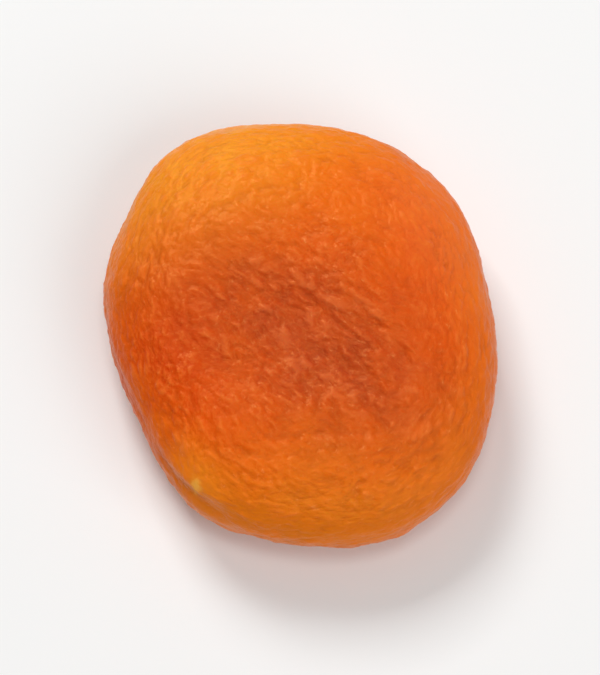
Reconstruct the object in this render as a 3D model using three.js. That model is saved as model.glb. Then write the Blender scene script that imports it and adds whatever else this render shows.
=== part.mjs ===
// A dried apricot: one pitted fruit, dried whole and pressed flat, lying on its rounder cheek.
// Millimetres, +Z up. The origin is on the surface that it lies on, under the middle of its box.

import * as THREE from "three";
import { mergeVertices } from "three/addons/utils/BufferGeometryUtils.js";

const { degToRad, smoothstep } = THREE.MathUtils;

// Size of the fruit as it lies
const WIDTH = 42;
const LENGTH = 46.5;
const THICKNESS = 14.5;
const PRESSED_FLAT = 0.7; // how far the soft underside gives where it rests

// Outline from above, as shares of the half width and half length, clockwise from the far end
const OUTLINE = [
  [-0.02, 1.0],
  [0.49, 0.89],
  [0.86, 0.6],
  [0.99, 0.15],
  [1.01, -0.34],
  [0.89, -0.69],
  [0.47, -0.96],
  [-0.12, -1.0],
  [-0.49, -0.86],
  [-0.76, -0.48],
  [-0.95, -0.1],
  [-0.99, 0.23],
  [-0.89, 0.54],
  [-0.73, 0.81],
  [-0.47, 0.96],
];

// Cross-section: powers under 1 make the rim plump and the faces flat
const CROWN_HEIGHT = 7.6; // above the widest line, before the hollow and the folds
const BELLY_HEIGHT = 7.6; // below it
const REACH_POWER = 0.9;
const CROWN_POWER = 0.78;
const BELLY_POWER = 0.84;

// The hollow on the crown, where the flesh sank in over the pit's place
const HOLLOW = { centre: [2, -4], turn: -0.6, long: 12, short: 8, depth: 2 };

// Creases drawn by hand on the crown, each a bent line in plan
const CREASES = [
  { from: [-14.5, 1], bend: [-10.5, -7], to: [1, -8.5], depth: 0.35, width: 1.7 },
  { from: [-9, -17], bend: [-1, -12], to: [14, -11.5], depth: 0.3, width: 1.8 },
  { from: [6, 1.5], bend: [10.5, -2], to: [12.5, -7.5], depth: 0.35, width: 1.5 },
  { from: [-5.5, 4.5], bend: [0, 2.5], to: [6, -2.5], depth: 0.25, width: 1.6 },
  { from: [-2, -1.5], bend: [4, -3.5], to: [8.5, -8.5], depth: 0.25, width: 1.5 },
];
const FOLD_LIP = 0.7; // how strongly the skin rises beside each fold

// The stem end, where the pit was pressed out: a closed slit along the rim, with the skin drawn in round it
const STEM_ANGLE = degToRad(238);
const SLIT_SWEEP = degToRad(34);
const SLIT = { height: 2, sway: 0.5, waves: 1, depth: 0.8, width: 0.95, fade: 1 };
const PUCKERS = { count: 11, length: 4.2, width: 1.1, depth: 0.2, spread: 4.5, sinkIn: 1.5 };

// The seam, faint, from the slit's left end round the left rim to the far tip
const SEAM_SWEEP = degToRad(155);
const SEAM = { height: 1.4, sway: 0.7, waves: 3, depth: 0.25, width: 1.2, fade: 0.3 };

// Small wrinkles, scattered by a seeded rule: along the grain in the middle, along the rim at the edge
const WRINKLES = { count: 260, length: [1.8, 4.2], width: [1.05, 1.45], depth: [0.04, 0.12], jitter: 0.9 };
const GRAIN_ANGLE = -0.55;
const RIM_ZONE = [0.45, 0.95]; // where the grain gives way to the rim, as shares of the way out
const RIM_CALM = [1.25, 0.75]; // wrinkle depth in the middle and at the rim, as shares
const LUMPS = { count: 7, wavelength: [16, 30], height: 0.13 };
const SEED = 20817;

// Even triangles over the whole skin
const SKIN_DETAIL = 22;
const MERGE_DISTANCE = 1e-4;
const OUTLINE_STEPS = 720;
const OUTLINE_SAMPLES = 8 * OUTLINE_STEPS;
const CREASE_STEPS = 24;
const FULL_TURN = 2 * Math.PI;
const UP = new THREE.Vector3(0, 0, 1);

// Repeatable draws in [0, 1)
function seededDraw(seed) {
  let state = seed >>> 0;
  return () => {
    state = (state + 0x6d2b79f5) >>> 0;
    let mixed = Math.imul(state ^ (state >>> 15), state | 1);
    mixed ^= mixed + Math.imul(mixed ^ (mixed >>> 7), mixed | 61);
    return ((mixed ^ (mixed >>> 14)) >>> 0) / 2 ** 32;
  };
}

const between = ([low, high], share) => low + (high - low) * share;

// A fold's cross-section: a valley with a raised lip on each side
function foldProfile(offset) {
  const square = offset * offset;
  return -(1 - FOLD_LIP * square) * Math.exp(-square);
}

// The outline as a function that gives its radius at any angle
function outlineRadius() {
  const corners = OUTLINE.map(([x, y]) => new THREE.Vector3((x * WIDTH) / 2, (y * LENGTH) / 2, 0));
  const curve = new THREE.CatmullRomCurve3(corners, true, "centripetal");
  const radii = new Array(OUTLINE_STEPS).fill(0);
  for (const point of curve.getPoints(OUTLINE_SAMPLES)) {
    const turn = (Math.atan2(point.y, point.x) + FULL_TURN) / FULL_TURN;
    radii[Math.round(turn * OUTLINE_STEPS) % OUTLINE_STEPS] = Math.hypot(point.x, point.y);
  }
  return (angle) => {
    const place = (((angle / FULL_TURN) % 1) + 1) * OUTLINE_STEPS;
    const first = Math.floor(place);
    const near = radii[first % OUTLINE_STEPS];
    const far = radii[(first + 1) % OUTLINE_STEPS];
    return between([near, far], place - first);
  };
}

// The smooth pillow form: a direction from the middle gives the point of the skin that lies there
function pillowPoint(direction, radiusAt) {
  const onCrown = direction.z > 0;
  const angle = Math.atan2(direction.y, direction.x);
  const reach = radiusAt(angle) * Math.hypot(direction.x, direction.y) ** REACH_POWER;
  const rise = Math.abs(direction.z) ** (onCrown ? CROWN_POWER : BELLY_POWER);
  const height = onCrown ? CROWN_HEIGHT * rise : -BELLY_HEIGHT * rise;
  return new THREE.Vector3(reach * Math.cos(angle), reach * Math.sin(angle), height);
}

// Each maker below returns a function (point, normal) that gives the skin's offset there in millimetres

function hollowRelief() {
  const [middleX, middleY] = HOLLOW.centre;
  const cosine = Math.cos(HOLLOW.turn);
  const sine = Math.sin(HOLLOW.turn);
  return (point, normal) => {
    const x = point.x - middleX;
    const y = point.y - middleY;
    const along = (x * cosine + y * sine) / HOLLOW.long;
    const across = (y * cosine - x * sine) / HOLLOW.short;
    return -HOLLOW.depth * Math.max(normal.z, 0) * Math.exp(-along * along - across * across);
  };
}

function creaseRelief({ from, bend, to, depth, width }) {
  const corners = [from, bend, to].map(([x, y]) => new THREE.Vector2(x, y));
  const line = new THREE.QuadraticBezierCurve(...corners).getPoints(CREASE_STEPS);
  return (point, normal) => {
    const plan = new THREE.Vector2(point.x, point.y);
    const gaps = line.map((step) => step.distanceTo(plan));
    const nearest = Math.min(...gaps);
    const taper = Math.sin((Math.PI * (gaps.indexOf(nearest) + 1)) / (CREASE_STEPS + 2));
    return depth * Math.max(normal.z, 0) * Math.sqrt(taper) * foldProfile(nearest / width);
  };
}

// A short straight fold that lies on the skin at a point, running along a unit vector
function foldRelief({ centre, along, length, width, depth }) {
  const gap = new THREE.Vector3();
  return (point) => {
    gap.subVectors(point, centre);
    const run = gap.dot(along);
    const side = Math.sqrt(Math.max(gap.lengthSq() - run * run, 0));
    return depth * Math.exp(-((run / length) ** 4)) * foldProfile(side / width);
  };
}

// A groove that follows the rim clockwise from an angle, at a swaying height over the widest line
function rimGrooveRelief(radiusAt, start, sweep, groove) {
  return (point) => {
    const angle = Math.atan2(point.y, point.x);
    const turned = (((start - angle) % FULL_TURN) + FULL_TURN) % FULL_TURN;
    const share = Math.min(turned / sweep, 1);
    const height = groove.height + groove.sway * Math.sin(groove.waves * FULL_TURN * share);
    const inward = radiusAt(angle) - Math.hypot(point.x, point.y);
    const away = Math.hypot(point.z - height, Math.max(inward - groove.width, 0));
    const ends = Math.max(Math.sin(Math.PI * share), 0) ** groove.fade;
    return groove.depth * ends * foldProfile(away / groove.width);
  };
}

// Small folds that point at the slit's middle from all round it
function puckerReliefs(radiusAt) {
  const outward = new THREE.Vector3(Math.cos(STEM_ANGLE), Math.sin(STEM_ANGLE), 0);
  const sideways = new THREE.Vector3(-outward.y, outward.x, 0);
  const slitMiddle = outward.clone().multiplyScalar(radiusAt(STEM_ANGLE));
  slitMiddle.z = SLIT.height;
  return Array.from({ length: PUCKERS.count }, (_, index) => {
    const turn = (FULL_TURN * (index + 0.5)) / PUCKERS.count;
    const along = sideways.clone().multiplyScalar(Math.cos(turn)).addScaledVector(UP, Math.sin(turn));
    const centre = slitMiddle.clone().addScaledVector(along, PUCKERS.spread);
    centre.addScaledVector(outward, -Math.abs(Math.sin(turn)) * PUCKERS.sinkIn);
    return foldRelief({ ...PUCKERS, centre, along, length: PUCKERS.length / 2 });
  });
}

function wrinkleReliefs(radiusAt, draw) {
  const goldenAngle = Math.PI * (3 - Math.sqrt(5));
  const grain = new THREE.Vector3(Math.cos(GRAIN_ANGLE), Math.sin(GRAIN_ANGLE), 0);
  const swing = (range) => range * (draw() - 0.5);
  return Array.from({ length: WRINKLES.count }, (_, index) => {
    const z = 1 - (2 * (index + draw())) / WRINKLES.count;
    const ring = Math.sqrt(Math.max(1 - z * z, 0));
    const angle = index * goldenAngle + swing(WRINKLES.jitter);
    const direction = new THREE.Vector3(ring * Math.cos(angle), ring * Math.sin(angle), z);
    const alongRim = new THREE.Vector3(-Math.sin(angle), Math.cos(angle), 0);
    alongRim.multiplyScalar(Math.sign(alongRim.dot(grain)));
    const rimShare = smoothstep(ring, ...RIM_ZONE);
    const along = grain.clone().lerp(alongRim, rimShare);
    along.z += swing(rimShare);
    along.applyAxisAngle(UP, swing(2 * WRINKLES.jitter)).normalize();
    return foldRelief({
      centre: pillowPoint(direction, radiusAt),
      along,
      length: between(WRINKLES.length, draw()),
      width: between(WRINKLES.width, draw()),
      depth: between(WRINKLES.depth, draw()) * between(RIM_CALM, rimShare),
    });
  });
}

// Slow waves that leave no two stretches of the fruit alike
function lumpRelief(draw) {
  const waves = Array.from({ length: LUMPS.count }, () => {
    const axis = new THREE.Vector3(draw() - 0.5, draw() - 0.5, draw() - 0.5);
    axis.setLength(FULL_TURN / between(LUMPS.wavelength, draw()));
    return { axis, phase: FULL_TURN * draw() };
  });
  return (point) => {
    const swell = ({ axis, phase }) => LUMPS.height * Math.sin(axis.dot(point) + phase);
    return waves.reduce((sum, wave) => sum + swell(wave), 0);
  };
}

// Lays the fruit on its flat spot and brings it to its stated size
function settle(geometry) {
  geometry.computeBoundingBox();
  const place = geometry.attributes.position;
  const floor = geometry.boundingBox.min.z + PRESSED_FLAT;
  for (let index = 0; index < place.count; index++) {
    place.setZ(index, Math.max(place.getZ(index), floor));
  }
  geometry.computeBoundingBox();
  const size = geometry.boundingBox.getSize(new THREE.Vector3());
  const middle = geometry.boundingBox.getCenter(new THREE.Vector3());
  geometry.translate(-middle.x, -middle.y, -floor);
  geometry.scale(WIDTH / size.x, LENGTH / size.y, THICKNESS / size.z);
}

// A closed ball of even triangles with nothing but its points
function evenBall() {
  const ball = new THREE.IcosahedronGeometry(1, SKIN_DETAIL);
  ball.deleteAttribute("normal");
  ball.deleteAttribute("uv");
  return mergeVertices(ball, MERGE_DISTANCE);
}

function apricotGeometry() {
  const draw = seededDraw(SEED);
  const radiusAt = outlineRadius();
  const geometry = evenBall();
  const place = geometry.attributes.position;
  const point = new THREE.Vector3();
  for (let index = 0; index < place.count; index++) {
    point.copy(pillowPoint(point.fromBufferAttribute(place, index), radiusAt));
    place.setXYZ(index, point.x, point.y, point.z);
  }
  geometry.computeVertexNormals();
  const reliefs = [
    hollowRelief(),
    lumpRelief(draw),
    rimGrooveRelief(radiusAt, STEM_ANGLE + SLIT_SWEEP / 2, SLIT_SWEEP, SLIT),
    rimGrooveRelief(radiusAt, STEM_ANGLE - SLIT_SWEEP / 2, SEAM_SWEEP, SEAM),
    ...puckerReliefs(radiusAt),
    ...CREASES.map(creaseRelief),
    ...wrinkleReliefs(radiusAt, draw),
  ];
  const normal = new THREE.Vector3();
  for (let index = 0; index < place.count; index++) {
    point.fromBufferAttribute(place, index);
    normal.fromBufferAttribute(geometry.attributes.normal, index);
    const offset = reliefs.reduce((sum, relief) => sum + relief(point, normal), 0);
    point.addScaledVector(normal, offset);
    place.setXYZ(index, point.x, point.y, point.z);
  }
  settle(geometry);
  geometry.computeVertexNormals();
  return geometry;
}

const skin = new THREE.MeshStandardMaterial({ color: 0xdd6a1e, roughness: 0.5, metalness: 0 });
const apricot = new THREE.Mesh(apricotGeometry(), skin);
apricot.name = "dried_apricot";

const part = new THREE.Group();
part.add(apricot);

export default part;
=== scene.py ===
"""Dresses the dried apricot: its fine skin, its colours, the light and the camera.

Everything is in the part's own frame, in metres unless a comment says millimetres.
"""

import math

import bpy
import numpy as np
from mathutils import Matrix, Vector, noise


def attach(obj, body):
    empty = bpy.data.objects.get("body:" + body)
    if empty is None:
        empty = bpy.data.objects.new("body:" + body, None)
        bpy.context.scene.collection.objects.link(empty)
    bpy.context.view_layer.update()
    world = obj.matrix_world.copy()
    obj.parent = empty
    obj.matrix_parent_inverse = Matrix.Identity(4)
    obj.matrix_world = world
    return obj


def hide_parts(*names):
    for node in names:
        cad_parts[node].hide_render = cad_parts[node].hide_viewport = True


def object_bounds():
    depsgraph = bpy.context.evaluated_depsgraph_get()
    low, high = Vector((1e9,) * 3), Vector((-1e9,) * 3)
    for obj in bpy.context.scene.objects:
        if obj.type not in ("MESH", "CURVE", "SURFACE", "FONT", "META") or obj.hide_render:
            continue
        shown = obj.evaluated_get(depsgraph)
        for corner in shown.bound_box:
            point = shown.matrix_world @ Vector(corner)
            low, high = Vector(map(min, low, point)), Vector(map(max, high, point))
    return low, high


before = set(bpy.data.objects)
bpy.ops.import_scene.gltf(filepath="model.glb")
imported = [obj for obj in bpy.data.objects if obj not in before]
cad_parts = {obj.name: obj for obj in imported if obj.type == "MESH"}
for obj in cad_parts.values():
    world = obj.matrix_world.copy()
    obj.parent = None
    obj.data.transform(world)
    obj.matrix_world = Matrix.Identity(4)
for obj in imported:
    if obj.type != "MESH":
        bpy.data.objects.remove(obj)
cad_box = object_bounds()

MM = 0.001
SEED = 4127

# The skin's mesh
SKIN_STEP = 0.235 * MM  # side of its quads
FACET_LEVELS = 2  # subdivisions that round off the solid's facets
SOFTENING = 6  # passes that take the grid out of the quads
WELD_GAP = 0.001 * MM
FLAT_SPOT_RISE = 0.25  # mm: the skin lower than this rests on the surface and stays as it is

# Places on the fruit, in millimetres from above
OUTLINE_SLOTS = 180
RIM_RADIUS = 21.0  # about, as the outline isn't round
CROWN_ZONE = (4.5, 8.5)  # heights between which the belly gives way to the crown
HOLLOW = {"centre": (1.5, -2.5), "turn": -0.65, "long": 15.0, "short": 9.0}
STEM_ANGLE = math.radians(238)
STEM_SPOT = {"way_out": 0.93, "long": 0.8, "short": 0.6}

# Folds run at one slant in the middle of the crown, and along the rim at the edge
GRAIN_ANGLE = -0.55
RIM_ZONE = (0.35, 0.85)  # where one gives way to the other, as shares of the way out

# Crumpled relief: rounded ridges with sharp valleys between them, in millimetres
CRUMPLES = {
    "folds": {"along": 4.2, "across": 2.0, "octaves": 3, "height": 0.06},
    "wrinkles": {"along": 1.6, "across": 0.7, "octaves": 2, "height": 0.05},
}
WARP = {"size": 5.0, "reach": 0.8}  # how the folds wander
SWELLS = {"count": 40, "wavelength": (3.0, 8.0), "height": 0.02}
# How strong each is on the crown, and what the hollow and the belly add
FOLD_STRENGTH = {"crown": 0.55, "hollow": 0.5, "belly": 0.9}
WRINKLE_STRENGTH = {"crown": 1.0, "hollow": 0.25, "belly": 0.0}
SWELL_STRENGTH = {"crown": 1.0, "hollow": 0.0, "belly": 3.0}
RIM_CALM = 0.4  # share of the relief that the rim lacks
CALM_ZONE = (0.8, 1.0)  # where that share sets in, as shares of the way out
RELIEF_SCALE = 0.15  # mm of relief at which the painted shade in valleys and the painted highlight on ridges are full

# Creases: single folds with raised lips, in millimetres, denser towards the middle of an ellipse in plan
EVERYWHERE = {"centre": (0.0, 0.0), "turn": 0.0, "long": 80.0, "short": 80.0}  # nearly even
BELOW_HOLLOW = {"centre": (2.0, -13.0), "turn": 0.1, "long": 11.0, "short": 4.5}
CREASES = {
    "short": {"count": 170, "length": (1.4, 4.0), "width": (0.35, 0.7), "depth": (0.02, 0.07), "swing": 0.5,
              "where": EVERYWHERE},
    "hollow": {"count": 60, "length": (1.5, 4.0), "width": (0.35, 0.6), "depth": (0.03, 0.08), "swing": 0.4,
               "where": HOLLOW},
    "near": {"count": 60, "length": (1.8, 4.5), "width": (0.35, 0.6), "depth": (0.04, 0.09), "swing": 0.3,
             "where": BELOW_HOLLOW},
}
CREASE_LIP = 0.7  # height of the lips beside the valley
CREASE_BEND = 0.06  # spread of the sideways bend
CREASE_REACH = (1.6, 2.0)  # lengths and widths away at which a crease has faded

# Colours, as sRGB in 0 to 255
ORANGE = (238, 90, 6)
DEEP_ORANGE = (214, 60, 0)
AMBER = (240, 114, 12)
PALE = (252, 158, 34)
BLUSH_RED = (170, 60, 30)
ROSE = (240, 118, 54)
OCHRE = (230, 122, 18)
# Painted shade, darker in the relief's valleys
VALLEY_SHADE = (150, 46, 6)
# Painted highlights on the ridges and along the dashes, pinkish within the blush
RIDGE_HIGHLIGHT = (240, 122, 40)
BLUSH_RIDGE_HIGHLIGHT = (222, 104, 58)
# Painted glints: tiny pale points of reflected light
PAINTED_GLINT = (252, 172, 100)
STEM_DRY = (255, 184, 74)
FLOOR = (246, 246, 245)

# Coloured zones of the skin, as ellipses in millimetres from above, painted in this order; the left one is
# painted shade, and the upper-left one is partly a painted highlight
ZONES = {
    "low": {"colour": OCHRE, "share": 0.9,
            "centre": (1.0, -21.0), "turn": 0.15, "long": 24.0, "short": 8.0},
    "notch": {"colour": PALE, "share": 0.5,
              "centre": (-10.5, -16.5), "turn": 2.1, "long": 4.0, "short": 2.2},
    # Painted shade: the left side of the crown darker
    "deep_tone_and_left_shade": {"colour": DEEP_ORANGE, "share": 0.95,
             "centre": (-14.0, -1.0), "turn": 1.5, "long": 12.0, "short": 9.0},
    # Partly the skin's paler colour, partly a painted highlight on the upper-left band that faces the light
    "pale_skin_and_lit_band": {"colour": PALE, "share": 0.95,
             "centre": (-10.5, 20.5), "turn": 0.45, "long": 23.0, "short": 10.5},
    "rose": {"colour": ROSE, "share": 0.65,
             "centre": (15.5, 11.0), "turn": -1.1, "long": 11.0, "short": 6.0},
    "blush": {"colour": BLUSH_RED, "share": 0.8,
              "centre": (2.0, -2.5), "turn": -0.55, "long": 17.0, "short": 10.0},
}
BELLY_COLOUR = 0.3  # share of a zone's colour that reaches the belly
RIM_PALENESS = 0.3
PALE_ZONE = (0.7, 1.0)  # where the rim pales, as shares of the way out

# The skin's pattern: sizes in millimetres, and the most that each tint covers
PATTERN = {"broad": 9.0, "patchy": 3.0, "mottle": 0.9, "gloss": 1.4, "grain": 0.3}
DASHES = {"along": 0.65, "across": 0.38}
TINTS = {
    "amber": 0.4,
    "deep_tone_and_left_shade": 0.3,
    # The valley tint is painted shade; the ridge, dash and sparkle tints are painted highlights
    "valley": 0.2,
    "ridge_highlight": 0.42,
    "dash_highlight": 0.28,
    "mottle": 0.12,
    "sparkle_glint": 0.22,
    "stem": 0.75,
}
ZONE_PATCHES = (0.75, 1.1)  # how a zone's strength varies from patch to patch
STEM_PATCHES = (0.5, 1.25)

# Finish of the skin
GRAIN_HEIGHT = 0.085 * MM
FINE_GRAIN = 0.5  # height of the finest grain, as a share of the dashes'
ROUGHNESS = (0.28, 0.42)
GLOSS = 0.45
GLOSS_COLOUR = (255, 178, 100)
GLOW = 0.25  # share of the light that passes through the flesh
GLOW_DEPTH = 1.8 * MM
GLOW_COLOURS = (1.0, 0.3, 0.07)  # how far red, green and blue light pass, as shares of that depth

# Floor, camera and light
FLOOR_SIZE = 4.0
FLOOR_ROUGHNESS = 0.8
VIEW_ELEVATION = math.radians(75)
LENS = 280  # mm
NEAR_CLIP = 0.01
VIEW_DISTANCE = 0.56
VIEW_TARGET = Vector((0, 0, 0.006))
WORLD_LIGHT = 0.22
LIGHTS = {
    "key": {"place": (-0.25, 0.55, 0.65), "size": 0.35, "power": 4.4},
    "fill": {"place": (0.5, -0.45, 0.6), "size": 0.7, "power": 3.2},
    "glint": {"place": (0.02, -0.05, 0.9), "size": 0.2, "power": 1.35},
}


def linear(colour):
    """An sRGB colour in 0 to 255 as linear light, with alpha."""
    shares = [part / 255 for part in colour]
    return [s / 12.92 if s <= 0.04045 else ((s + 0.055) / 1.055) ** 2.4 for s in shares] + [1.0]


def smoothstep(low, high, value):
    share = np.clip((value - low) / (high - low), 0, 1)
    return share * share * (3 - 2 * share)


def unit(vectors):
    return vectors / np.maximum(np.linalg.norm(vectors, axis=-1, keepdims=True), 1e-9)


# The skin's mesh


def fine_skin(node):
    """A copy of the solid's surface as an even mesh of small quads, without its facets."""
    piece = bpy.data.objects.new("apricot", node.data.copy())
    bpy.context.scene.collection.objects.link(piece)
    piece.data.materials.clear()
    weld = piece.modifiers.new("weld", "WELD")
    weld.merge_threshold = WELD_GAP
    rounding = piece.modifiers.new("rounding", "SUBSURF")
    rounding.levels = FACET_LEVELS
    remesh = piece.modifiers.new("even_quads", "REMESH")
    remesh.mode = "VOXEL"
    remesh.voxel_size = SKIN_STEP
    softening = piece.modifiers.new("softening", "SMOOTH")
    softening.iterations = SOFTENING
    graph = bpy.context.evaluated_depsgraph_get()
    mesh = bpy.data.meshes.new_from_object(piece.evaluated_get(graph))
    mesh.name = "apricot"
    piece.modifiers.clear()
    piece.data = mesh
    return piece


def vertex_values(mesh, field):
    values = np.empty(3 * len(mesh.vertices), np.float32)
    mesh.vertices.foreach_get(field, values)
    return values.reshape(-1, 3).astype(float)


class Skin:
    """The skin's points in millimetres, with what each one knows of its place on the fruit."""

    def __init__(self, mesh, rng):
        self.rng = rng
        self.points = vertex_values(mesh, "co") / MM
        self.normals = vertex_values(mesh, "normal")
        x, y, z = self.points.T
        self.turn = np.arctan2(y, x)
        reach = np.hypot(x, y)
        slot = ((self.turn / (2 * math.pi) + 0.5) * OUTLINE_SLOTS).astype(int) % OUTLINE_SLOTS
        edge = np.zeros(OUTLINE_SLOTS)
        np.maximum.at(edge, slot, reach)
        self.way_out = reach / edge[slot]
        self.rim_share = smoothstep(*RIM_ZONE, self.way_out)
        self.crown = smoothstep(*CROWN_ZONE, z)
        self.by_x = np.argsort(x)
        self.sorted_x = x[self.by_x]
        self.wandering = self.warped()

    def waves(self, count, wavelength):
        """A smooth random field with a spread of about 0.7: waves in all directions, summed."""
        field = np.zeros(len(self.points))
        for _ in range(count):
            direction = unit(self.rng.normal(size=3)) * 2 * math.pi / self.rng.uniform(*wavelength)
            field += np.sin(self.points @ direction + self.rng.uniform(0, 2 * math.pi))
        return field / math.sqrt(count)

    def warped(self):
        """The skin's points, each pushed about at random but smoothly."""
        return np.array([point + WARP["reach"] * np.array(noise.noise_vector(point / WARP["size"]))
                         for point in self.points])

    def fold_at(self, spot, swing):
        """Unit vectors along a fold at a point and across it.

        Swing turns it from the way that folds run there.
        """
        rim_angle = self.turn[spot] + math.pi / 2
        # A fold has no front or back, so double angles are blended, which treat opposite ways alike
        share = self.rim_share[spot]
        cosine = (1 - share) * math.cos(2 * GRAIN_ANGLE) + share * math.cos(2 * rim_angle)
        sine = (1 - share) * math.sin(2 * GRAIN_ANGLE) + share * math.sin(2 * rim_angle)
        angle = math.atan2(sine, cosine) / 2 + swing
        flow = np.array([math.cos(angle), math.sin(angle), 0])
        normal = self.normals[spot]
        along = unit(flow - (flow @ normal) * normal)
        return along, np.cross(normal, along)

    def grain_place(self):
        """Each point's place along the middle's folds, across them, and up."""
        x, y, z = self.wandering.T
        cosine, sine = math.cos(GRAIN_ANGLE), math.sin(GRAIN_ANGLE)
        return np.stack([x * cosine + y * sine, y * cosine - x * sine, z], axis=1)

    def rim_place(self):
        """Each point's place along the rim, as a point on a circle, and how far out it lies."""
        facing_up = self.normals[:, 2] > 0
        out = np.where(facing_up, self.way_out, 2 - self.way_out) * RIM_RADIUS - self.points[:, 2]
        place = np.stack([RIM_RADIUS * np.cos(self.turn), RIM_RADIUS * np.sin(self.turn), out], axis=1)
        return place + self.wandering - self.points

    def near(self, spot, reach):
        """The points that lie within reach of a point in plan, on both faces of the fruit."""
        x, y, _ = self.points[spot]
        low, high = np.searchsorted(self.sorted_x, (x - reach, x + reach))
        strip = self.by_x[low:high]
        return strip[np.abs(self.points[strip, 1] - y) < reach]

    def ellipse(self, centre, turn, long, short):
        """1 in the middle of an ellipse in plan, fading to 0 past its edge."""
        x = self.points[:, 0] - centre[0]
        y = self.points[:, 1] - centre[1]
        along = (x * math.cos(turn) + y * math.sin(turn)) / long
        across = (y * math.cos(turn) - x * math.sin(turn)) / short
        return np.exp(-(along**2) - across**2)


# Relief


def crease_profile(offset):
    square = offset * offset
    return -(1 - CREASE_LIP * square) * np.exp(-square)


def crease_relief(skin, where, count, swing, **sizes):
    """The skin's offsets from single folds, scattered at random."""
    relief = np.zeros(len(skin.points))
    rng = skin.rng
    chances = skin.ellipse(**where)
    for spot in rng.choice(len(skin.points), count, p=chances / chances.sum()):
        length, width, depth = (rng.uniform(*sizes[key]) for key in ("length", "width", "depth"))
        along, across = skin.fold_at(spot, rng.normal(0, swing))
        near = skin.near(spot, CREASE_REACH[0] * length + CREASE_REACH[1] * width)
        gap = skin.points[near] - skin.points[spot]
        run = gap @ along
        side = gap @ across - rng.normal(0, CREASE_BEND) * run**2
        same_face = skin.normals[near] @ skin.normals[spot] > 0
        relief[near] += depth * same_face * np.exp(-((run / length) ** 4)) * crease_profile(side / width)
    return relief


def crumple(skin, along, across, octaves, height):
    """Ridges and valleys drawn out along the folds, with a mean of 0 and height as their spread."""
    grain = skin.grain_place() / (along, across, across)
    rim = skin.rim_place() / (along, along, across)
    layers = []
    for places in (grain, rim):
        layers.append(np.array([noise.turbulence(place, octaves, True) for place in places]))
    heights = layers[0] + (layers[1] - layers[0]) * skin.rim_share
    return height * (heights - heights.mean()) / heights.std()


def strength(skin, crown, hollow, belly):
    """How strong a kind of relief is at each point of the skin."""
    return crown + hollow * skin.ellipse(**HOLLOW) * skin.crown + belly * (1 - skin.crown)


def store(mesh, name, values):
    attribute = mesh.attributes.new(name, "FLOAT", "POINT")
    attribute.data.foreach_set("value", np.asarray(values, np.float32))


def store_places(mesh, name, places):
    attribute = mesh.attributes.new(name, "FLOAT_VECTOR", "POINT")
    attribute.data.foreach_set("vector", np.asarray(places, np.float32).ravel())


def sculpt(piece):
    """Folds the skin, keeps it in the solid's box, and stores what the colours need."""
    mesh = piece.data
    noise.seed_set(SEED)  # or else the noise starts from the time of day
    skin = Skin(mesh, np.random.default_rng(SEED))
    relief = crumple(skin, **CRUMPLES["folds"]) * strength(skin, **FOLD_STRENGTH)
    relief += crumple(skin, **CRUMPLES["wrinkles"]) * strength(skin, **WRINKLE_STRENGTH)
    for creases in CREASES.values():
        relief += crease_relief(skin, **creases)
    swells = SWELLS["height"] * skin.waves(SWELLS["count"], SWELLS["wavelength"])
    relief += swells * strength(skin, **SWELL_STRENGTH)
    relief *= 1 - RIM_CALM * smoothstep(*CALM_ZONE, skin.way_out)
    relief *= smoothstep(0, FLAT_SPOT_RISE, skin.points[:, 2])
    points = skin.points + skin.normals * relief[:, None]
    low, high = (np.array(corner) / MM for corner in cad_box)
    points = low + (points - points.min(0)) * (high - low) / np.ptp(points, axis=0)
    mesh.vertices.foreach_set("co", (points * MM).astype(np.float32).ravel())
    mesh.update()

    store(mesh, "relief", np.clip(relief / RELIEF_SCALE, -1, 1))
    store(mesh, "rim_share", skin.rim_share)
    store_places(mesh, "grain_place", skin.grain_place())
    store_places(mesh, "rim_place", skin.rim_place())
    for name, zone in ZONES.items():
        place = {key: zone[key] for key in ("centre", "turn", "long", "short")}
        cover = BELLY_COLOUR + (1 - BELLY_COLOUR) * skin.crown
        store(mesh, name, zone["share"] * skin.ellipse(**place) * cover)
    store(mesh, "rim", RIM_PALENESS * smoothstep(*PALE_ZONE, skin.way_out))
    stem_turn = np.abs((skin.turn - STEM_ANGLE + math.pi) % (2 * math.pi) - math.pi)
    stem_run = stem_turn * np.hypot(*skin.points[:, :2].T) / STEM_SPOT["long"]
    stem_side = (skin.way_out - STEM_SPOT["way_out"]) * RIM_RADIUS / STEM_SPOT["short"]
    store(mesh, "stem", np.exp(-(stem_run**2) - stem_side**2) * skin.crown)


# Materials


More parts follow.
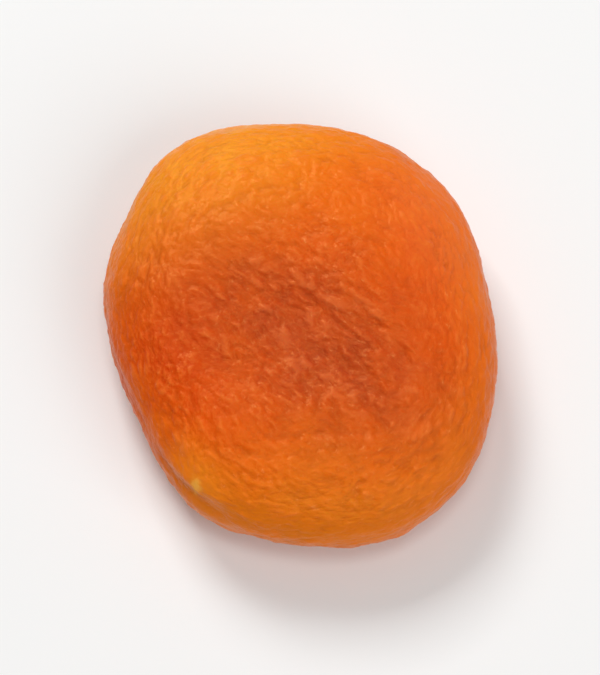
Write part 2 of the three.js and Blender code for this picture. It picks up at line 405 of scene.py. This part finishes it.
class Graph:
    """Short ways to add the nodes of one material.

    A value may be a number, a colour or another node's output.
    """

    def __init__(self, name):
        self.material = bpy.data.materials.new(name)
        self.material.use_nodes = True
        self.tree = self.material.node_tree
        self.shader = self.tree.nodes["Principled BSDF"]
        self.place = self.add("ShaderNodeTexCoord").outputs["Object"]

    def add(self, kind, inputs=(), **settings):
        node = self.tree.nodes.new(kind)
        for key, value in settings.items():
            setattr(node, key, value)
        for key, value in dict(inputs).items():
            self.plug(node.inputs[key], value)
        return node

    def plug(self, socket, value):
        if isinstance(value, bpy.types.NodeSocket):
            self.tree.links.new(value, socket)
        else:
            socket.default_value = value

    def attribute(self, name):
        return self.add("ShaderNodeAttribute", attribute_name=name).outputs["Fac"]

    def noise(self, size, detail=3.0, roughness=0.55):
        """Noise in 0 to 1 whose features are about size millimetres wide."""
        inputs = {"Vector": self.place, "Scale": 1 / (size * MM), "Detail": detail, "Roughness": roughness}
        return self.add("ShaderNodeTexNoise", inputs).outputs["Fac"]

    def dashes(self, along, across):
        """Noise in 0 to 1, drawn out along the folds. Lengths and widths are in millimetres."""
        rates = {
            "grain_place": (1 / along, 1 / across, 1 / across),
            "rim_place": (1 / along, 1 / along, 1 / across),
        }
        layers = []
        for name, rate in rates.items():
            place = self.add("ShaderNodeAttribute", attribute_name=name).outputs["Vector"]
            scaled = self.add("ShaderNodeVectorMath", {0: place, 1: rate}, operation="MULTIPLY")
            inputs = {"Vector": scaled.outputs["Vector"], "Scale": 1.0, "Detail": 2.0}
            inputs |= {"Roughness": 0.5, "Distortion": 0.4}
            layers.append(self.add("ShaderNodeTexNoise", inputs).outputs["Fac"])
        blend = {"Factor": self.attribute("rim_share"), "A": layers[0], "B": layers[1]}
        return self.add("ShaderNodeMix", blend, data_type="FLOAT").outputs["Result"]

    def ramp(self, value, low, high, bottom=0.0, top=1.0):
        inputs = {"Value": value, "From Min": low, "From Max": high, "To Min": bottom, "To Max": top}
        return self.add("ShaderNodeMapRange", inputs, interpolation_type="SMOOTHSTEP").outputs["Result"]

    def math(self, operation, first, second):
        return self.add("ShaderNodeMath", {0: first, 1: second}, operation=operation).outputs[0]

    def mix(self, share, first, second):
        node = self.add("ShaderNodeMix", data_type="RGBA")
        self.plug(node.inputs[0], share)
        self.plug(node.inputs[6], first)
        self.plug(node.inputs[7], second)
        return node.outputs[2]

    def bump(self, height, distance):
        inputs = {"Height": height, "Distance": distance, "Strength": 1.0}
        return self.add("ShaderNodeBump", inputs).outputs["Normal"]

    def finish(self, **sockets):
        for key, value in sockets.items():
            self.plug(self.shader.inputs[key.replace("_", " ")], value)
        return self.material


def apricot_material():
    g = Graph("apricot_skin")
    broad = g.noise(PATTERN["broad"], detail=2)
    patchy = g.noise(PATTERN["patchy"])
    mottle = g.noise(PATTERN["mottle"], roughness=0.6)
    dashes = g.dashes(**DASHES)
    relief = g.attribute("relief")

    # Noise lies mostly between 0.3 and 0.7, so the ramps run about there
    colour = g.mix(g.ramp(broad, 0.35, 0.7, 0, TINTS["amber"]), linear(ORANGE), linear(AMBER))
    colour = g.mix(g.ramp(patchy, 0.35, 0.75, 0, TINTS["deep_tone_and_left_shade"]), colour, linear(DEEP_ORANGE))
    colour = g.mix(g.attribute("rim"), colour, linear(PALE))
    uneven = g.ramp(patchy, 0.25, 0.75, *ZONE_PATCHES)
    # Zones, among them painted shade on the left side and a partly painted highlight on the upper-left band
    for name, zone in ZONES.items():
        colour = g.mix(g.math("MULTIPLY", g.attribute(name), uneven), colour, linear(zone["colour"]))

    # Painted shade: darker in the relief's valleys
    colour = g.mix(g.ramp(relief, 0, -1, 0, TINTS["valley"]), colour, linear(VALLEY_SHADE))
    # Painted highlights: lighter on the relief's ridges and along the dashes; the mottle adds random
    # lighter flecks in the same colour
    ridge_highlight = g.mix(g.attribute("blush"), linear(RIDGE_HIGHLIGHT), linear(BLUSH_RIDGE_HIGHLIGHT))
    colour = g.mix(g.ramp(relief, 0, 1, 0, TINTS["ridge_highlight"]), colour, ridge_highlight)
    colour = g.mix(g.ramp(dashes, 0.48, 0.75, 0, TINTS["dash_highlight"]), colour, ridge_highlight)
    colour = g.mix(g.ramp(mottle, 0.45, 0.75, 0, TINTS["mottle"]), colour, ridge_highlight)
    # Painted glints where the dashes and the mottle peak
    sparkle_glint = g.ramp(mottle, 0.52, 0.7, 0, TINTS["sparkle_glint"])
    colour = g.mix(g.math("MULTIPLY", g.ramp(dashes, 0.55, 0.7), sparkle_glint), colour, linear(PAINTED_GLINT))
    stem = g.math("MULTIPLY", g.attribute("stem"), g.ramp(mottle, 0.3, 0.7, *STEM_PATCHES))
    colour = g.mix(g.ramp(stem, 0.1, 0.95, 0, TINTS["stem"]), colour, linear(STEM_DRY))

    fine_grain = g.math("MULTIPLY", g.noise(PATTERN["grain"], roughness=0.6), FINE_GRAIN)
    return g.finish(
        Base_Color=colour,
        Roughness=g.ramp(g.noise(PATTERN["gloss"]), 0.3, 0.7, *ROUGHNESS),
        Normal=g.bump(g.math("ADD", dashes, fine_grain), GRAIN_HEIGHT),
        Specular_IOR_Level=GLOSS,
        Specular_Tint=linear(GLOSS_COLOUR),
        Subsurface_Weight=GLOW,
        Subsurface_Radius=GLOW_COLOURS,
        Subsurface_Scale=GLOW_DEPTH,
    )


def floor_material():
    g = Graph("floor")
    return g.finish(Base_Color=linear(FLOOR), Roughness=FLOOR_ROUGHNESS)


# Stage


def add_floor():
    bpy.ops.mesh.primitive_plane_add(size=FLOOR_SIZE)
    floor = bpy.context.object
    floor.name = "floor"
    floor.data.materials.append(floor_material())


def add_light(name, place, size, power):
    """A square soft light that faces the fruit."""
    data = bpy.data.lights.new(name, "AREA")
    data.shape = "SQUARE"
    data.size = size
    data.energy = power
    light = bpy.data.objects.new(name, data)
    light.location = place
    light.rotation_euler = (VIEW_TARGET - Vector(place)).to_track_quat("-Z", "Y").to_euler()
    bpy.context.scene.collection.objects.link(light)


def add_lights():
    for name, light in LIGHTS.items():
        add_light(name, **light)
    world = bpy.data.worlds.new("studio")
    world.use_nodes = True
    background = world.node_tree.nodes["Background"]
    background.inputs["Color"].default_value = (1, 1, 1, 1)
    background.inputs["Strength"].default_value = WORLD_LIGHT
    bpy.context.scene.world = world
    bpy.context.scene.view_settings.view_transform = "Standard"


def add_camera():
    data = bpy.data.cameras.new("camera")
    data.lens = LENS
    data.clip_start = NEAR_CLIP
    camera = bpy.data.objects.new("camera", data)
    back = Vector((0, -math.cos(VIEW_ELEVATION), math.sin(VIEW_ELEVATION)))
    camera.location = VIEW_TARGET + VIEW_DISTANCE * back
    camera.rotation_euler = (-back).to_track_quat("-Z", "Y").to_euler()
    bpy.context.scene.collection.objects.link(camera)
    bpy.context.scene.camera = camera


def add_apricot():
    piece = fine_skin(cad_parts["dried_apricot"])
    sculpt(piece)
    for polygon in piece.data.polygons:
        polygon.use_smooth = True
    piece.data.materials.append(apricot_material())
    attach(piece, "root")
    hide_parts("dried_apricot")


def write_sizes():
    bpy.context.view_layer.update()


add_apricot()
add_floor()
add_lights()
add_camera()
write_sizes()
